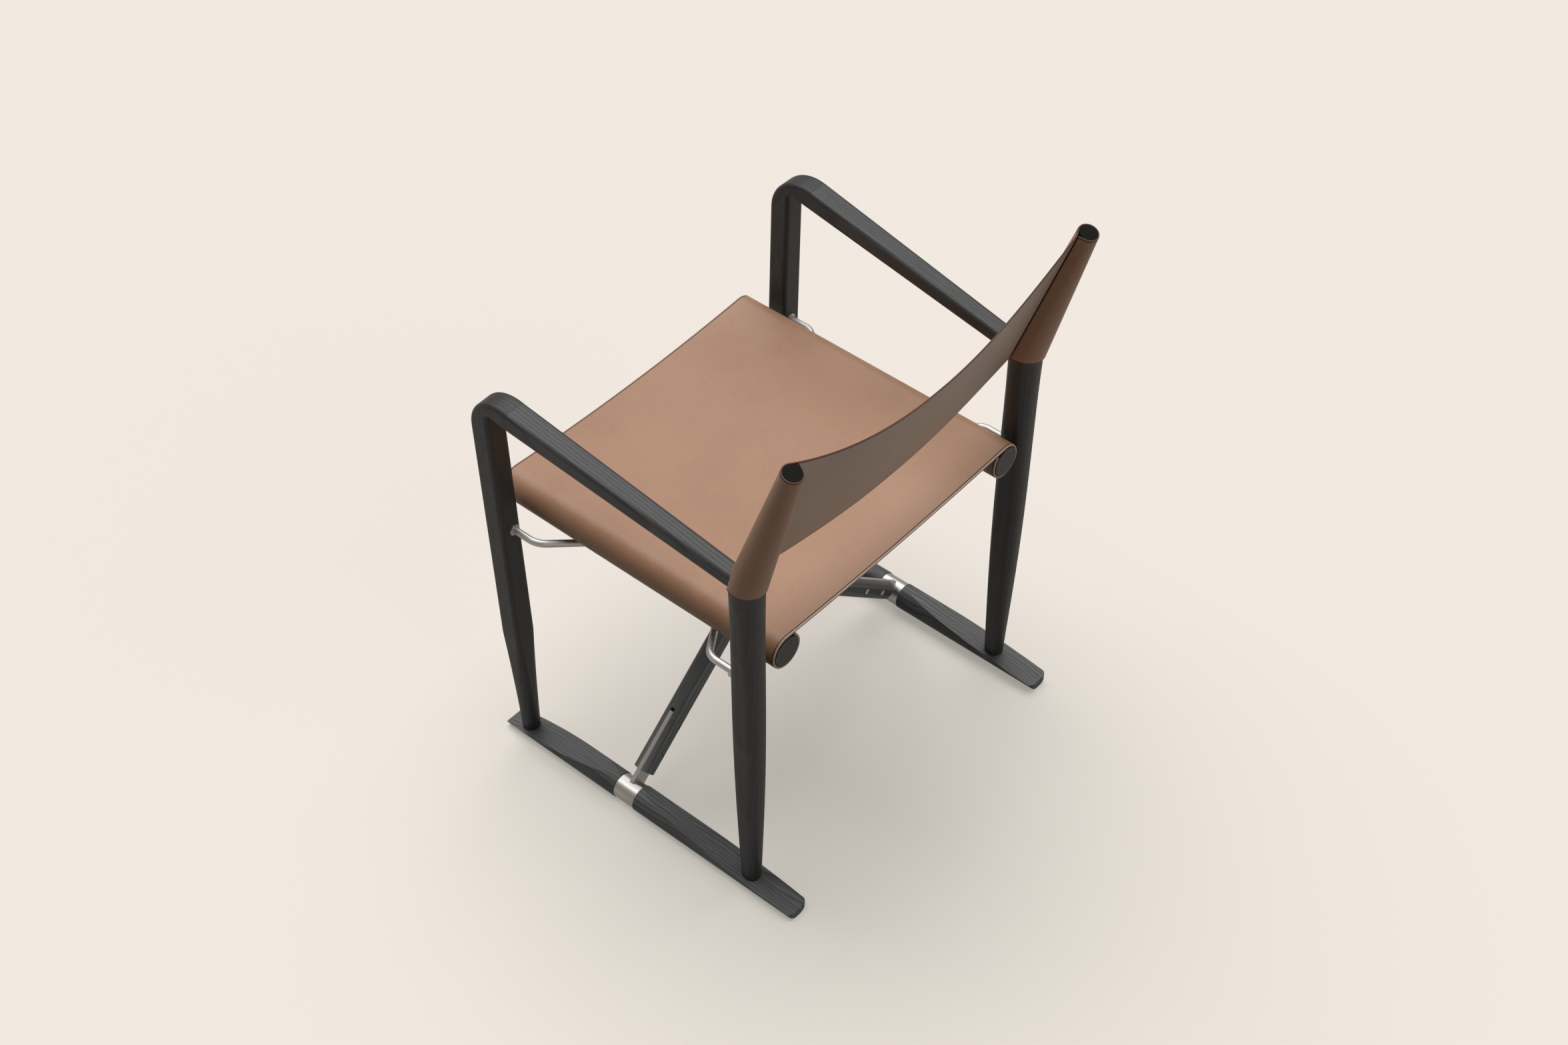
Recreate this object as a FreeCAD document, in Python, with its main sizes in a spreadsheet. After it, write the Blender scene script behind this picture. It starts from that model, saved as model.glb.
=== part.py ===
import FreeCAD, Part
import math
import os

# Folding armchair: two dark wooden side frames, crossed round braces, leather seat and back slings.
# Millimetres, +Z up, +Y to the chair's rear, +X to the sitter's left.

V = FreeCAD.Vector
# Layout of the four legs
leg_gap_x = 530  # between the leg axes of both sides at pivot height
leg_gap_y = 410  # between front and rear leg axes
leg_mid_y = -29.33  # middle of the legs from the middle of the whole depth
pivot_z = 19  # height of the floor pivots
splay_front = 1.95  # outward lean of a front leg, degrees
splay_rear = 0.86  # outward lean of a rear leg and its post, degrees

# Runners on the floor
runner_d = 38.6
runner_front = 34  # runner in front of the front leg's axis
runner_back = 82  # runner behind the rear leg's axis
runner_front_t = 8  # thickness at the front end
runner_back_t = 13  # thickness at the rear end
runner_corner = 10
runner_round = 8  # full round left beside the collar
collar_y = 17  # collars stand this far before and behind the braces' middle
brace_shift = 4.5  # middle of the crossed braces behind the legs' middle
collar_d = 36.6
collar_l = 36
collar_play = 0.3
axle_d = 16
axle_in = 45  # axle length inside each runner half
run_fit = 0.05  # radial play of turning fits

# Legs and arms
leg_w = 33.6
leg_d = 31.8
leg_r = 6
rear_w = 32
rear_d = 42.5
rear_r = 14
leg_foot_d = 24
leg_full_z = 215  # front leg's full section from here up
rear_full_z = 290  # rear leg's full section from here up
leg_mid_at = 0.42  # height of the middle section as a share
leg_mid = 0.52  # its width between foot and full section, as a share
rear_mid = 0.35  # rear leg's width half way to the bend, between leg and post
tenon_d = 16
tenon_floor = 4  # wood left under a leg tenon
arm_top_z = 664
arm_h = 30
arm_bend_r = 56
arm_inner_r = 6
joint_past = 5  # end of the corner's bend to the joint of the arm
arm_end_w = 26.5
arm_end_h = 22.8
arm_end_z = 588
dowel_d = 11
dowel_l = 44

# Rear leg with back post
post_z = 586  # height of the bend
post_shift = 6.5  # backward lean of the rear leg up to the bend
post_rake = 17.34  # degrees
post_l = 240.7
post_d = 45
post_top_d = 24

# Braces
rail_x = 221  # seat rail axes from the middle
rail_z = 440.6
brace_d = 30
brace_foot = 34  # brace starts this far from the floor pivot
brace_head = 26.5  # brace ends this far from the rail's axis
blade_t = 6
blade_w = 29
blade_in = 91  # blade length inside the brace's lower slot
slot_play = 0.2
tongue_w = 24
tongue_in = 30
tongue_rail = 6  # tongue stops this far from the rail's axis
screw_d = 8
screw_a = 62
screw_b = 110
screw_top = 15  # upper screw from the brace's end
screw_socket = 4
screw_inset = 3  # hole left open at a screw's point
screw_sunk = 0.3  # head below the brace's crest
bolt_d = 10
bolt_head_d = 16
bolt_head_t = 4
spot_depth = 2
spot_play = 0.5
washer_d = 22
washer_play = 0.2

# Bails between the legs
bail_d = 10
bail_z = 420
bail_reach = 120.76
bail_tilt = 15.022  # degrees below level
bail_straight = 148  # half length along the pivot axis
bail_bar = 68  # half length of the cross bar
bail_r = 25
bail_end = 203
bush_d = 16
bush_out = 2  # bush stands proud of the leg
bush_l = 22
bail_slot_w = 15
bail_slot_a = 511.8  # slot centres along the brace from its floor pivot
bail_slot_b = 563

# Seat
rail_d = 43
rail_front = 238.5
rail_back = 229.5
leather_gap = 0.3
seat_t = 3.5
seat_sag = 7
seat_inset = 1
slit_w = 7.4
slit_from = 146  # degrees round the rail
slit_turn = 112

# Back
back_t = 2
sag_top = 23  # rearward sag of the upper edge
sag_low = 15  # rearward sag of the lower edge
sag_peak = 0.6  # how much fuller the sag is at the middle
dip_top = 81  # downward dip of the upper edge
dip_low = 20  # downward dip of the lower edge
seam_gap = 3  # seam from the sleeve's round
seam_turn = 70  # degrees round the post from its front
seam_r = 2.4
sleeve_low = -1  # lower end of the seam from the bend
sleeve_over = 4.5  # sleeve above the post's nominal length
post_past = 0.5  # post's end above the sleeve
notch_play = 1.5

# The sheet takes every number named above
doc = FreeCAD.newDocument("FoldingArmchair")
sheet = doc.addObject("Spreadsheet::Sheet", "Sizes")
driving = {word: number for word, number in globals().items() if isinstance(number, (int, float))}
for row, alias in enumerate(driving, 1):
    sheet.set("A%d" % row, alias)
    sheet.set("B%d" % row, str(driving[alias]))
    sheet.setAlias("B%d" % row, alias)
doc.recompute()
nodes = []


def place(x, y, z, turn=0.0, axis=V(0, 1, 0)):
    """Placement with one turn in degrees."""
    return FreeCAD.Placement(V(x, y, z), FreeCAD.Rotation(axis, turn))


def cylinder(name, radius, height, start, along):
    """Cylinder from a start point along a direction."""
    obj = doc.addObject("Part::Cylinder", name)
    obj.setExpression("Radius", radius)
    obj.setExpression("Height", height)
    obj.Placement = FreeCAD.Placement(start, FreeCAD.Rotation(V(0, 0, 1), along))
    return obj


def box(name, length, width, height, corner):
    """Box from its low corner."""
    obj = doc.addObject("Part::Box", name)
    obj.setExpression("Length", length)
    obj.setExpression("Width", width)
    obj.setExpression("Height", height)
    obj.Placement = place(corner.x, corner.y, corner.z)
    return obj


def cut(name, base, tools):
    """Chain of cuts."""
    for number, tool in enumerate(tools):
        step = doc.addObject("Part::Cut", "%s_cut%d" % (name, number))
        step.Base = base
        step.Tool = tool
        base = step
    return base


def fuse(name, shapes):
    """Union of objects."""
    obj = doc.addObject("Part::MultiFuse", name + "_fuse")
    obj.Shapes = shapes
    return obj


def solid(name, shape):
    """Free-form solid made from the sheet's values."""
    obj = doc.addObject("Part::Feature", name + "_form")
    obj.Shape = shape
    return obj


def node(label, obj, placement):
    """Names a finished sub-part and puts it in its place."""
    obj.Label = label
    obj.Placement = placement
    nodes.append(obj)
    return obj


def rounded(origin, u, v, wide, deep, corner):
    """Closed rounded rectangle around an origin in the plane of u and v."""
    a = wide / 2 - corner
    b = deep / 2 - corner
    k = corner * math.sqrt(0.5)
    corners = []
    corners.append((a, b, 1, 1, True))
    corners.append((-a, b, -1, 1, False))
    corners.append((-a, -b, -1, -1, True))
    corners.append((a, -b, 1, -1, False))
    ends = []
    edges = []
    for cx, cy, sx, sy, first_x in corners:
        side = origin + u * (cx + sx * corner) + v * cy
        top = origin + u * cx + v * (cy + sy * corner)
        mid = origin + u * (cx + sx * k) + v * (cy + sy * k)
        ends.append((side, mid, top) if first_x else (top, mid, side))
    for number, (start, mid, end) in enumerate(ends):
        edges.append(Part.Arc(start, mid, end).toShape())
        edges.append(Part.LineSegment(end, ends[(number + 1) % 4][0]).toShape())
    return Part.Wire(edges)


def clean(shape):
    """One solid without split faces."""
    shape = shape.removeSplitter()
    if len(shape.Solids) == 1:
        return shape.Solids[0]
    return shape


X = V(1, 0, 0)
Y = V(0, 1, 0)
Z = V(0, 0, 1)
SIDES = (("right", 1), ("left", -1))
half_x = leg_gap_x / 2
half_y = leg_gap_y / 2
mid_y = leg_mid_y
runner_r = runner_d / 2
front_y = -half_y - runner_front
back_y = half_y + runner_back
front_at = {}
frame_at = {}
runner_at = {}
for side, sign in SIDES:
    front_at[side] = place(sign * half_x, mid_y, pivot_z, sign * splay_front)
    frame_at[side] = place(sign * half_x, mid_y, pivot_z, sign * splay_rear)
    runner_at[side] = place(sign * half_x, mid_y, pivot_z)

# Geometry shared by both braces
run_x = half_x + rail_x
run_z = rail_z - pivot_z
brace_l = math.hypot(run_x, run_z)
brace_turn = math.degrees(math.atan2(run_x, run_z))
cross_t = half_x / math.sin(math.radians(brace_turn))
brace_top = brace_l - brace_head

# Bails turn midway between the axes of the front and rear leg
lean = (math.tan(math.radians(splay_front)) + math.tan(math.radians(splay_rear))) / 2
bail_x = half_x + (bail_z - pivot_z) * lean

# The arm falls towards the rear, and its corner is bent to that slope
arm_fall = arm_top_z - arm_end_z - arm_end_h / 2
arm_slope = math.atan2(arm_fall, leg_gap_y + leg_d / 2 - arm_bend_r)
joint_y = -half_y - leg_d / 2 + arm_bend_r * (1 + math.sin(arm_slope)) + joint_past
joint_top = arm_top_z - pivot_z - arm_bend_r * (1 - math.cos(arm_slope))
joint_top = joint_top - joint_past * math.tan(arm_slope)

# Directions of the raked back
rake = math.radians(post_rake)
up = V(0, math.sin(rake), math.cos(rake))
rear = V(0, math.cos(rake), -math.sin(rake))
bend = V(0, half_y + post_shift, post_z - pivot_z)
post_face = bend.y - post_d / 2


def rear_y(z):
    """Rear leg's axis at a height above the pivot."""
    return half_y + post_shift * z / bend.z


def top_slope(side, front):
    """Start height, end height and ends of a runner half's planed top."""
    collar = brace_shift - sign_of(side) * collar_y
    reach = collar_l / 2 + collar_play
    if front:
        return front_y, collar - reach, runner_front_t - pivot_z
    return back_y, collar + reach, runner_back_t - pivot_z


def sign_of(side):
    """Plus for the right side, minus for the left."""
    return 1 if side == "right" else -1


def plane_box(side, front):
    """Placement of a box whose floor is the planed top of a runner half."""
    end, start, low = top_slope(side, front)
    angle = math.degrees(math.atan2(runner_r - low, abs(start - end) - runner_round))
    turn = angle if front else -angle
    turned = place(0, end, low, turn, X)
    shift = place(-runner_d, -runner_d if front else -leg_gap_y, 0)
    return turned.multiply(shift)


def post_r(h):
    """Radius of the post at a height along it."""
    low = post_d / 2
    return low + (post_top_d / 2 - low) * h / post_l


def turned_up(angle):
    """Upward direction turned towards the front."""
    return V(0, -math.sin(angle), math.cos(angle))


def front_leg(side):
    """Front leg with the bent corner of the arm, tenon at the foot."""
    wide = leg_w
    deep = leg_d
    full = leg_full_z - pivot_z
    foot = leg_foot_d
    mid_w = foot + (wide - foot) * leg_mid
    mid_d = foot + (deep - foot) * leg_mid
    sections = []
    sections.append(rounded(V(0, -half_y, tenon_floor - pivot_z), X, Y, foot, foot, foot * 0.47))
    sections.append(rounded(V(0, -half_y, full * leg_mid_at), X, Y, mid_w, mid_d, mid_d * 0.43))
    sections.append(rounded(V(0, -half_y, full), X, Y, wide, deep, leg_r))
    low = Part.makeLoft(sections, True, False)
    face_y = -half_y - deep / 2
    inner_y = -half_y + deep / 2
    x = -wide / 2
    half_way = (math.pi / 2 - arm_slope) / 2
    big = V(x, face_y + arm_bend_r, arm_top_z - pivot_z - arm_bend_r)
    under = joint_top - arm_h + (joint_y - inner_y - arm_inner_r) * math.tan(arm_slope)
    small = V(x, inner_y + arm_inner_r, under - arm_inner_r / math.cos(arm_slope))
    p1 = V(x, face_y, full)
    p2 = V(x, face_y, big.z)
    p3 = big + turned_up(half_way + arm_slope) * arm_bend_r
    p4 = big + turned_up(-arm_slope) * arm_bend_r
    p5 = V(x, joint_y, joint_top)
    p6 = V(x, joint_y, joint_top - arm_h)
    p7 = small + turned_up(-arm_slope) * arm_inner_r
    p8 = small + turned_up(half_way + arm_slope) * arm_inner_r
    p9 = V(x, inner_y, small.z)
    p10 = V(x, inner_y, full)
    edges = []
    edges.append(Part.LineSegment(p1, p2).toShape())
    edges.append(Part.Arc(p2, p3, p4).toShape())
    edges.append(Part.LineSegment(p4, p5).toShape())
    edges.append(Part.LineSegment(p5, p6).toShape())
    edges.append(Part.LineSegment(p6, p7).toShape())
    edges.append(Part.Arc(p7, p8, p9).toShape())
    edges.append(Part.LineSegment(p9, p10).toShape())
    edges.append(Part.LineSegment(p10, p1).toShape())
    high = Part.Face(Part.Wire(edges)).extrude(V(wide, 0, 0))
    long_edges = []
    for edge in high.Edges:
        box_e = edge.BoundBox
        flat_x = box_e.XLength < 0.01
        at_foot = abs(box_e.ZMax - full) < 0.01
        at_joint = abs(box_e.YMin - joint_y) < 0.01
        if flat_x and not at_foot and not at_joint:
            long_edges.append(edge)
    high = high.makeFillet(leg_r, long_edges)
    leg = low.fuse(high)
    return finish_leg(side, leg, True)


def finish_leg(side, leg, front):
    """Cuts a leg to the runner's top and adds its tenon."""
    y = -half_y if front else half_y
    tool = Part.makeBox(2 * runner_d, leg_gap_y + runner_d, 2 * runner_d)
    tool.Placement = plane_box(side, front)
    wide = 2 * leg_foot_d
    stock = Part.makeBox(2 * wide, 2 * wide, 2 * wide, V(-wide, y - wide, -wide))
    below = stock.cut(tool)
    leg_at = front_at[side] if front else frame_at[side]
    to_leg = leg_at.inverse().multiply(runner_at[side])
    below.Placement = to_leg.multiply(below.Placement)
    leg = leg.cut(below)
    bottom = tenon_floor - pivot_z
    tenon = Part.makeCylinder(tenon_d / 2, runner_d, V(0, y, bottom), Z)
    leg = leg.fuse(tenon)
    return clean(leg)


def rear_leg(side):
    """Rear leg and raked back post in one piece."""
    foot = leg_foot_d + 1
    full = rear_full_z - pivot_z
    middle = (full + bend.z) / 2
    mid_w = foot + (rear_w - foot) * leg_mid
    mid_d = foot + (rear_d - foot) * leg_mid
    high_w = rear_w + (post_d - rear_w) * rear_mid
    low_z = full * leg_mid_at
    sections = []
    sections.append(rounded(V(0, half_y, tenon_floor - pivot_z), X, Y, foot, foot, foot * 0.47))
    sections.append(rounded(V(0, rear_y(low_z), low_z), X, Y, mid_w, mid_d, mid_w * 0.43))
    sections.append(rounded(V(0, rear_y(full), full), X, Y, rear_w, rear_d, rear_r))
    sections.append(rounded(V(0, rear_y(middle), middle), X, Y, high_w, rear_d, rear_r + 2))
    mitre = V(0, math.cos(rake / 2), -math.sin(rake / 2))
    joint = rounded(bend, X, mitre, post_d, post_d / math.cos(rake / 2), post_d * 0.49)
    sections.append(joint)
    low = Part.makeLoft(sections, True, False)
    post_end = post_l + sleeve_over + post_past
    end_d = 2 * post_r(post_end)
    top = rounded(bend + up * post_end, X, rear, end_d, end_d, end_d * 0.49)
    post = Part.makeLoft([joint, top], True, True)
    leg = low.fuse(post)
    return finish_leg(side, leg, False)


def arm_z(y):
    """Height of the arm's axis above the pivot."""
    start = joint_top - arm_h / 2
    end = arm_end_z - pivot_z
    return start + (end - start) * (y - joint_y) / (half_y - joint_y)


def front_in_frame(side):
    """Front leg's axes seen from the rear leg's axes of the same side."""
    return frame_at[side].inverse().multiply(front_at[side])


def arm(side):
    """Arm from the corner joint into the rear post."""
    seen = front_in_frame(side)
    start = seen.multVec(V(0, joint_y, arm_z(joint_y)))
    wide = seen.Rotation.multVec(X)
    high = seen.Rotation.multVec(Z)
    first = rounded(start, wide, high, leg_w, arm_h, leg_r)
    last = rounded(V(0, half_y, arm_z(half_y)), X, Z, arm_end_w, arm_end_h, arm_end_h * 0.35)
    return Part.makeLoft([first, last], True, True)


def seam_way(sign):
    """Direction from a post's axis to the seam."""
    turn = math.radians(seam_turn)
    return X * (-sign * math.sin(turn)) - rear * math.cos(turn)


def seam_far(h):
    """Distance from a post's axis to the seam."""
    return post_r(h) + leather_gap + back_t + seam_gap


def teardrop(sign, h, r_post, r_seam, far):
    """Closed outline round a post and a seam, in the plane across the post."""
    centre = bend + up * h
    tip = centre + seam_way(sign) * far
    dirn = seam_way(sign)
    side = up.cross(dirn)
    lean = math.asin((r_post - r_seam) / far)
    edges = []
    ends = []
    for turn in (1, -1):
        normal = side * (turn * math.cos(lean)) + dirn * math.sin(lean)
        ends.append((centre + normal * r_post, tip + normal * r_seam))
    edges.append(Part.LineSegment(ends[0][0], ends[0][1]).toShape())
    edges.append(Part.Arc(ends[0][1], tip + dirn * r_seam, ends[1][1]).toShape())
    edges.append(Part.LineSegment(ends[1][1], ends[1][0]).toShape())
    edges.append(Part.Arc(ends[1][0], centre - dirn * r_post, ends[0][0]).toShape())
    return Part.Wire(edges)


def seam_at(side, h):
    """Point of the seam line in the chair's frame."""
    local = bend + up * h + seam_way(sign_of(side)) * seam_far(h)
    return frame_at[side].multVec(local)


def edge_tool(upper):
    """Solid beyond the dipping edge of the back, in the chair's frame."""
    post = frame_at["right"].multVec(bend)
    origin = V(0, post.y, post.z)
    if upper:
        ends = post_l + sleeve_over
        dip = dip_top
        beyond = ends + post_l
    else:
        ends = sleeve_low
        dip = dip_low
        beyond = ends - post_l
    reach = seam_at("right", ends).x
    r = (reach * reach + dip * dip) / (2 * dip)
    wide = reach + post_d
    tip_h = ends - dip + r - math.sqrt(r * r - wide * wide)
    right = origin + X * wide + up * tip_h
    left = origin - X * wide + up * tip_h
    low = origin + up * (ends - dip)
    far_r = origin + X * wide + up * beyond
    far_l = origin - X * wide + up * beyond
    edges = []
    edges.append(Part.Arc(right, low, left).toShape())
    edges.append(Part.LineSegment(left, far_l).toShape())
    edges.append(Part.LineSegment(far_l, far_r).toShape())
    edges.append(Part.LineSegment(far_r, right).toShape())
    face = Part.Face(Part.Wire(edges))
    face.translate(rear * -post_l)
    return face.extrude(rear * (2 * post_l))


def sleeve(sign, leg):
    """Leather sleeve over a post, open where the arm comes in."""
    outs = []
    ins = []
    for h in (sleeve_low - post_d / 2, post_l + sleeve_over):
        r = post_r(h) + leather_gap
        outs.append(teardrop(sign, h, r + back_t, seam_r, seam_far(h)))
        ins.append(teardrop(sign, h, r, back_t / 10, r))
    shape = Part.makeLoft(outs, True, True).cut(Part.makeLoft(ins, True, True))
    level = (bend + up * sleeve_low + seam_way(sign) * seam_far(sleeve_low)).z
    corner = V(-2 * post_d, bend.y - 2 * post_d, level - post_l)
    shape = shape.cut(Part.makeBox(4 * post_d, 4 * post_d, post_l, corner))
    notch_w = arm_end_w + 2 * notch_play
    notch_top = arm_z(post_face) + arm_end_h / 2 + notch_play
    corner = V(-notch_w / 2, bend.y - 2 * post_d, notch_top - 2 * post_d)
    shape = shape.cut(Part.makeBox(notch_w, 2 * post_d, 2 * post_d, corner))
    shape = shape.cut(leg)
    parts = sorted(shape.Solids, key=lambda s: s.Volume)
    return parts[-1]


def panel(side, sign):
    """Half of the back's sheet from the seam to the middle."""
    wires = []
    for h in (sleeve_low - 2 * dip_low, post_l + 2 * sleeve_over):
        seam = seam_at(side, h)
        start = abs(seam.x) - seam_r - leather_gap
        sag = (sag_low + (sag_top - sag_low) * h / post_l) / (1 + sag_peak)
        curves = []
        for off in (-back_t / 2, back_t / 2):
            points = []
            for step in range(7):
                x = start * (1 - step / 6)
                drop = 1 - (x / start) ** 2
                n = sag * drop * (1 + sag_peak * drop) + off
                points.append(V(sign * x, seam.y, seam.z) + rear * n)
            curve = Part.BSplineCurve()
            curve.interpolate(points)
            curves.append((curve.toShape(), points[0], points[-1]))
        edges = []
        edges.append(curves[0][0])
        edges.append(Part.LineSegment(curves[0][2], curves[1][2]).toShape())
        edges.append(curves[1][0])
        edges.append(Part.LineSegment(curves[1][1], curves[0][1]).toShape())
        wires.append(Part.Wire(Part.__sortEdges__(edges)))
    shape = Part.makeLoft(wires, True, True)
    for upper in (True, False):
        shape = shape.cut(edge_tool(upper))
    parts = sorted(shape.Solids, key=lambda s: s.Volume)
    return parts[-1]


def seat_half(sign):
    """Half of the seat's sheet with its pocket round the rail, as a section to be drawn out."""
    rail = V(sign * rail_x, 0, 0)
    r_in = rail_d / 2 + leather_gap
    r_out = r_in + seat_t
    drop = r_out - seat_sag
    sag_r = (rail_x ** 2 + drop ** 2 - r_out ** 2) / (2 * (r_out - drop))
    high = V(0, 0, drop + sag_r)
    reach = (rail - high).Length
    toward = (rail - high) * (1 / reach)
    top = high + toward * sag_r
    low_r = sag_r + seat_t
    along = (low_r ** 2 - r_out ** 2 + reach ** 2) / (2 * reach)
    across = math.sqrt(low_r ** 2 - along ** 2)
    inward = V(toward.z, 0, -toward.x) * sign
    low = high + toward * along + inward * across
    mid_top = V(0, 0, drop)
    mid_low = V(0, 0, drop - seat_t)
    half_top = on_arc(high, sag_r, mid_top, top)
    half_low = on_arc(high, low_r, mid_low, low)
    far = rail + (rail - (top + low) * 0.5) * (r_out / (rail - (top + low) * 0.5).Length)
    edges = []
    edges.append(Part.Arc(mid_top, half_top, top).toShape())
    edges.append(Part.Arc(top, far, low).toShape())
    edges.append(Part.Arc(low, half_low, mid_low).toShape())
    edges.append(Part.LineSegment(mid_low, mid_top).toShape())
    outer = Part.Face(Part.Wire(edges))
    hole = Part.Face(Part.Wire([Part.Circle(rail, Y, r_in).toShape()]))
    length = rail_front + rail_back - 2 * seat_inset
    body = outer.cut(hole).extrude(V(0, length, 0))
    body.translate(V(0, -rail_front + seat_inset, 0))
    return body, rail


def on_arc(centre, r, a, b):
    """Point half way between two points of a circle."""
    mid = (a + b) * 0.5 - centre
    return centre + mid * (r / mid.Length)


for side, sign in SIDES:
    collar_at = brace_shift - sign * collar_y
    reach = collar_l / 2 + collar_play
    for front in (True, False):
        end, start, low = top_slope(side, front)
        word = "front" if front else "rear"
        name = "%s_runner_%s" % (side, word)
        first = min(end, start)
        outer = "front" if front else "back"
        way = "+" if (sign < 0) == front else "-"
        length = "Sizes.leg_gap_y / 2 + Sizes.runner_%s %s Sizes.collar_y" % (outer, way)
        length = length + (" + " if front else " - ") + "Sizes.brace_shift"
        length = length + " - Sizes.collar_l / 2 - Sizes.collar_play"
        stock = cylinder(name + "_stock", "Sizes.runner_d / 2", length, V(0, first, 0), Y)
        plane_l = "Sizes.leg_gap_y + Sizes.runner_d"
        plane = box(name + "_plane", "2 * Sizes.runner_d", plane_l, "2 * Sizes.runner_d", V(0, 0, 0))
        plane.Placement = plane_box(side, front)
        under = V(-runner_d, -leg_gap_y, -pivot_z - runner_d)
        floor = box(name + "_floor", "2 * Sizes.runner_d", "2 * Sizes.leg_gap_y", "Sizes.runner_d", under)
        way = V(0, -1 if front else 1, 0)
        bore = cylinder(name + "_bore", "Sizes.axle_d / 2", "Sizes.axle_in", V(0, start, 0), way)
        leg_y = -half_y if front else half_y
        mortise = cylinder(name + "_mortise", "Sizes.tenon_d / 2", "2 * Sizes.runner_d", V(0, 0, 0), Z)
        in_leg = place(0, leg_y, tenon_floor - pivot_z)
        leg_at = front_at[side] if front else frame_at[side]
        mortise.Placement = runner_at[side].inverse().multiply(leg_at).multiply(in_leg)
        runner = cut(name, stock, [plane, floor, bore, mortise])
        if not front:
            corner = V(-runner_r, back_y - 2 * leg_gap_y, -2 * runner_d)
            high = "4 * Sizes.runner_d"
            blank = box(name + "_blank", "Sizes.runner_d", "2 * Sizes.leg_gap_y", high, corner)
            doc.recompute()
            rim = doc.addObject("Part::Fillet", name + "_rim")
            rim.Base = blank
            picks = []
            for number, edge in enumerate(blank.Shape.Edges):
                span = edge.BoundBox
                if span.ZLength > 2 * runner_d and abs(span.YMax - back_y) < 0.01:
                    picks.append((number + 1, runner_corner, runner_corner))
            rim.Edges = picks
            shaped = doc.addObject("Part::Common", name + "_shaped")
            shaped.Base = runner
            shaped.Tool = rim
            runner = shaped
        node(name, runner, runner_at[side])
    axle = cylinder(
        side + "_axle_pin",
        "Sizes.axle_d / 2",
        "Sizes.collar_l + 2 * Sizes.collar_play + 2 * Sizes.axle_in",
        V(0, 0, 0),
        Y,
    )
    axle_y = mid_y + collar_at - reach - axle_in
    node(side + "_axle", axle, FreeCAD.Placement(V(sign * half_x, axle_y, pivot_z), FreeCAD.Rotation(Z, Y)))

    bush_at = place(sign * bail_x, mid_y, bail_z)
    holes = []
    bushes = []
    rear_face = rear_y(bail_z - pivot_z) - rear_d / 2
    ends = []
    ends.append(("front", -1, half_y - leg_d / 2, front_at[side]))
    ends.append(("rear", 1, rear_face, frame_at[side]))
    for word, way, face, leg_at in ends:
        start = V(0, way * (face - bush_out), 0)
        name = "%s_bush_%s" % (side, word)
        hole = cylinder(name + "_hole", "Sizes.bush_d / 2", "Sizes.bush_l", start, Y * way)
        hole.Placement = leg_at.inverse().multiply(bush_at).multiply(hole.Placement)
        outer = cylinder(name + "_outer", "Sizes.bush_d / 2", "Sizes.bush_l", start, Y * way)
        inside = cylinder(name + "_in", "Sizes.bail_d / 2 + Sizes.run_fit", "Sizes.bush_l", start, Y * way)
        holes.append(hole)
        bushes.append(cut(name, outer, [inside]))
    pair = doc.addObject("Part::Compound", side + "_bush_pair")
    pair.Links = bushes
    node(side + "_bail_bushes", pair, bush_at)

    starts = []
    for y in (joint_y, post_face):
        starts.append(V(0, y - dowel_l / 2, arm_z(y)))
    front_hole = cylinder(side + "_dowel_hole", "Sizes.dowel_d / 2", "Sizes.dowel_l", starts[0], Y)
    front_dowel = cylinder(side + "_dowel_front", "Sizes.dowel_d / 2", "Sizes.dowel_l", starts[0], Y)
    front_dowel.Placement = front_in_frame(side).multiply(front_dowel.Placement)
    rear_dowel = cylinder(side + "_dowel_rear", "Sizes.dowel_d / 2", "Sizes.dowel_l", starts[1], Y)
    both = doc.addObject("Part::Compound", side + "_dowel_pair")
    both.Links = [front_dowel, rear_dowel]
    doc.recompute()

    back_form = rear_leg(side)
    arm_form = sorted(arm(side).cut(back_form).Solids, key=lambda s: s.Volume)[-1]
    name = side + "_front_leg"
    node(name, cut(name, solid(name, front_leg(side)), [holes[0], front_hole]), front_at[side])
    name = side + "_rear_leg"
    node(name, cut(name, solid(name, back_form), [holes[1], rear_dowel]), frame_at[side])
    name = side + "_armrest"
    node(name, cut(name, solid(name, arm_form), [front_dowel, rear_dowel]), frame_at[side])
    node(side + "_arm_dowels", both, frame_at[side])
    name = side + "_back_sleeve"
    node(name, solid(name, sleeve(sign, back_form)), frame_at[side])
    name = side + "_back_panel"
    node(name, solid(name, panel(side, sign)), place(0, 0, 0))

    path_pts = []
    path_pts.append(V(0, bail_end, 0))
    path_pts.append(V(0, bail_straight, 0))
    path_pts.append(V(-sign * bail_reach, bail_bar, 0))
    for point in reversed(path_pts[:]):
        path_pts.append(V(point.x, -point.y, 0))
    edges = []
    last = path_pts[0]
    for number in range(1, 5):
        before = (path_pts[number - 1] - path_pts[number]).normalize()
        after = (path_pts[number + 1] - path_pts[number]).normalize()
        half_angle = before.getAngle(after) / 2
        back = bail_r / math.tan(half_angle)
        start = path_pts[number] + before * back
        stop = path_pts[number] + after * back
        inner_dir = (before + after).normalize()
        mid = path_pts[number] + inner_dir * (bail_r / math.sin(half_angle) - bail_r)
        edges.append(Part.LineSegment(last, start).toShape())
        edges.append(Part.Arc(start, mid, stop).toShape())
        last = stop
    edges.append(Part.LineSegment(last, path_pts[5]).toShape())
    circle = Part.Wire([Part.Circle(path_pts[0], Y, bail_d / 2).toShape()])
    rod = Part.Wire(edges).makePipeShell([circle], True, False)
    bail_at = place(sign * bail_x, mid_y, bail_z, -sign * bail_tilt)
    node(side + "_bail", solid(side + "_bail", rod), bail_at)

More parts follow.
